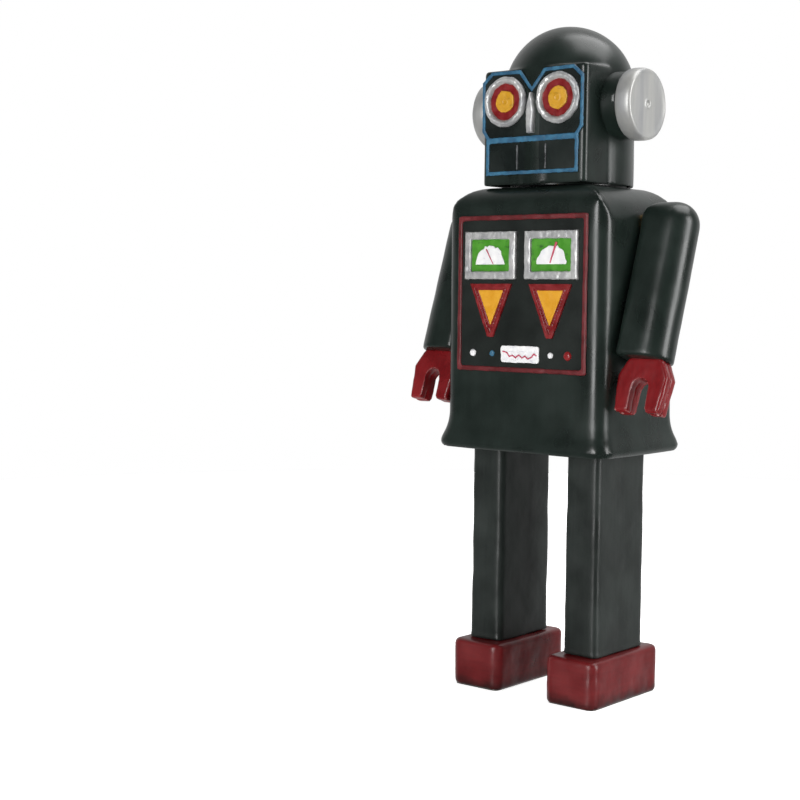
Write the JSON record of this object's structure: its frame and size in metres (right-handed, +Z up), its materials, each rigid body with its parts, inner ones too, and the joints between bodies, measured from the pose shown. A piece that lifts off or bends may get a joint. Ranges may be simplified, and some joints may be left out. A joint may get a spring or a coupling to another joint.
{
  "type": "walking tin robot",
  "caption": "Upright boxy walking robot with domed head, round ears, swinging arms with claw hands, block feet and a side winding key driving its legs.",
  "frame": {"origin": "on the ground, centred between the feet under the middle of the torso", "axes": "+Z up, the robot faces -Y, its left side is +X"},
  "size_m": [0.1094, 0.0544, 0.24],
  "materials": {
    "green_enamel": "glossy dark green enamel, brushed on",
    "leg_enamel": "semi-gloss dark green enamel",
    "red_enamel": "glossy cherry red enamel",
    "panel_enamel": "dark green enamel with a red border line",
    "mask_enamel": "dark enamel with a blue outline",
    "grille_black": "satin black enamel",
    "silver_finish": "brushed silver",
    "reflector_red": "glossy red",
    "lamp_yellow": "glossy yellow",
    "lens_amber": "glossy amber",
    "dial_green": "bright green enamel with a white scale",
    "white_enamel": "white enamel",
    "blue_enamel": "blue enamel",
    "signal_red": "red enamel",
    "frame_red": "red enamel",
    "plain_steel": "bright drawn steel",
    "spring_steel": "blued spring steel",
    "tinplate": "bare tinplate",
    "brass": "stamped brass",
    "roller_rubber": "matt black rubber"
  },
  "bodies": {
    "torso": {"torso_front_shell": "green_enamel", "torso_back_shell": "green_enamel", "base_plate": "tinplate", "chest_panel": "panel_enamel", "gauge_bezel_left": "silver_finish", "gauge_bezel_right": "silver_finish", "gauge_dials": "dial_green", "lamp_frame_left": "frame_red", "lamp_frame_right": "frame_red", "lamp_lenses": "lens_amber", "trace_screen": "white_enamel", "indicator_white": "white_enamel", "indicator_blue": "blue_enamel", "indicator_red": "signal_red", "neck_bush": "brass", "shoulder_bushes": "brass", "motor_plate_left": "brass", "motor_plate_right": "brass", "motor_pillars": "plain_steel", "mainspring": "spring_steel", "hip_axle": "plain_steel"},
    "head": {"head_shell": "green_enamel", "face_mask": "mask_enamel", "eye_ring_left": "silver_finish", "eye_ring_right": "silver_finish", "eye_reflectors": "reflector_red", "eye_lamps": "lamp_yellow", "nose": "silver_finish", "mouth_grille": "grille_black", "ear_bosses": "green_enamel", "ear_cap_left": "silver_finish", "ear_cap_right": "silver_finish", "neck_tube": "tinplate"},
    "arm_left": {"arm_shell_left": "green_enamel", "arm_cover_left": "green_enamel", "hand_left": "red_enamel", "shoulder_pin_left": "plain_steel"},
    "arm_right": {"arm_shell_right": "green_enamel", "arm_cover_right": "green_enamel", "hand_right": "red_enamel", "shoulder_pin_right": "plain_steel"},
    "leg_left": {"leg_shell_left": "leg_enamel", "leg_lever_left": "plain_steel", "foot_shell_left": "red_enamel", "sole_plate_left": "tinplate"},
    "leg_right": {"leg_shell_right": "leg_enamel", "leg_lever_right": "plain_steel", "foot_shell_right": "red_enamel", "sole_plate_right": "tinplate"},
    "roller_left": {"foot_roller_left": "roller_rubber"},
    "roller_right": {"foot_roller_right": "roller_rubber"},
    "winder": {"winding_key": "silver_finish", "key_arbor": "plain_steel"},
    "great_gear": {"great_wheel": "brass", "click": "plain_steel"},
    "crank": {"crank_shaft": "plain_steel", "second_wheel": "brass"},
    "brake": {"governor": "plain_steel"}
  },
  "joints": [
    {"name": "neck_turn", "type": "hinge", "parent": "torso", "child": "head", "pos_m": [0, 0.0032, 0.182], "axis": [0, 0, 1], "range_deg": [-45, 45]},
    {"name": "arm_left_swing", "type": "hinge", "parent": "torso", "child": "arm_left", "pos_m": [0.0444, 0.004, 0.168], "axis": [-1, 0, 0], "range_deg": [-5, 120]},
    {"name": "arm_right_swing", "type": "hinge", "parent": "torso", "child": "arm_right", "pos_m": [-0.0444, 0.004, 0.168], "axis": [-1, 0, 0], "range_deg": [-5, 120]},
    {"name": "leg_left_swing", "type": "hinge", "parent": "torso", "child": "leg_left", "pos_m": [0.0207, 0, 0.096], "axis": [-1, 0, 0], "range_deg": [-6, 6]},
    {"name": "leg_right_swing", "type": "hinge", "parent": "torso", "child": "leg_right", "pos_m": [-0.0207, 0, 0.096], "axis": [-1, 0, 0], "range_deg": [-6, 6]},
    {"name": "roller_left_spin", "type": "hinge", "parent": "leg_left", "child": "roller_left", "pos_m": [0.0207, -0.006, 0.005], "axis": [1, 0, 0], "continuous": true},
    {"name": "roller_right_spin", "type": "hinge", "parent": "leg_right", "child": "roller_right", "pos_m": [-0.0207, -0.006, 0.005], "axis": [1, 0, 0], "continuous": true},
    {"name": "key_wind", "type": "hinge", "parent": "torso", "child": "winder", "pos_m": [-0.0343, 0.0106, 0.112], "axis": [-1, 0, 0], "continuous": true},
    {"name": "great_wheel_spin", "type": "hinge", "parent": "torso", "child": "great_gear", "pos_m": [0, 0.0106, 0.112], "axis": [1, 0, 0], "continuous": true},
    {"name": "crank_spin", "type": "hinge", "parent": "torso", "child": "crank", "pos_m": [0, 0, 0.12261], "axis": [1, 0, 0], "continuous": true},
    {"name": "governor_spin", "type": "hinge", "parent": "torso", "child": "brake", "pos_m": [0, 0, 0.13561], "axis": [1, 0, 0], "continuous": true}
  ],
  "couplings": [
    {"joint": "leg_right_swing", "follows": "leg_left_swing", "ratio": -1},
    {"joint": "crank_spin", "follows": "great_wheel_spin", "ratio": -4},
    {"joint": "governor_spin", "follows": "great_wheel_spin", "ratio": 13.333}
  ]
}
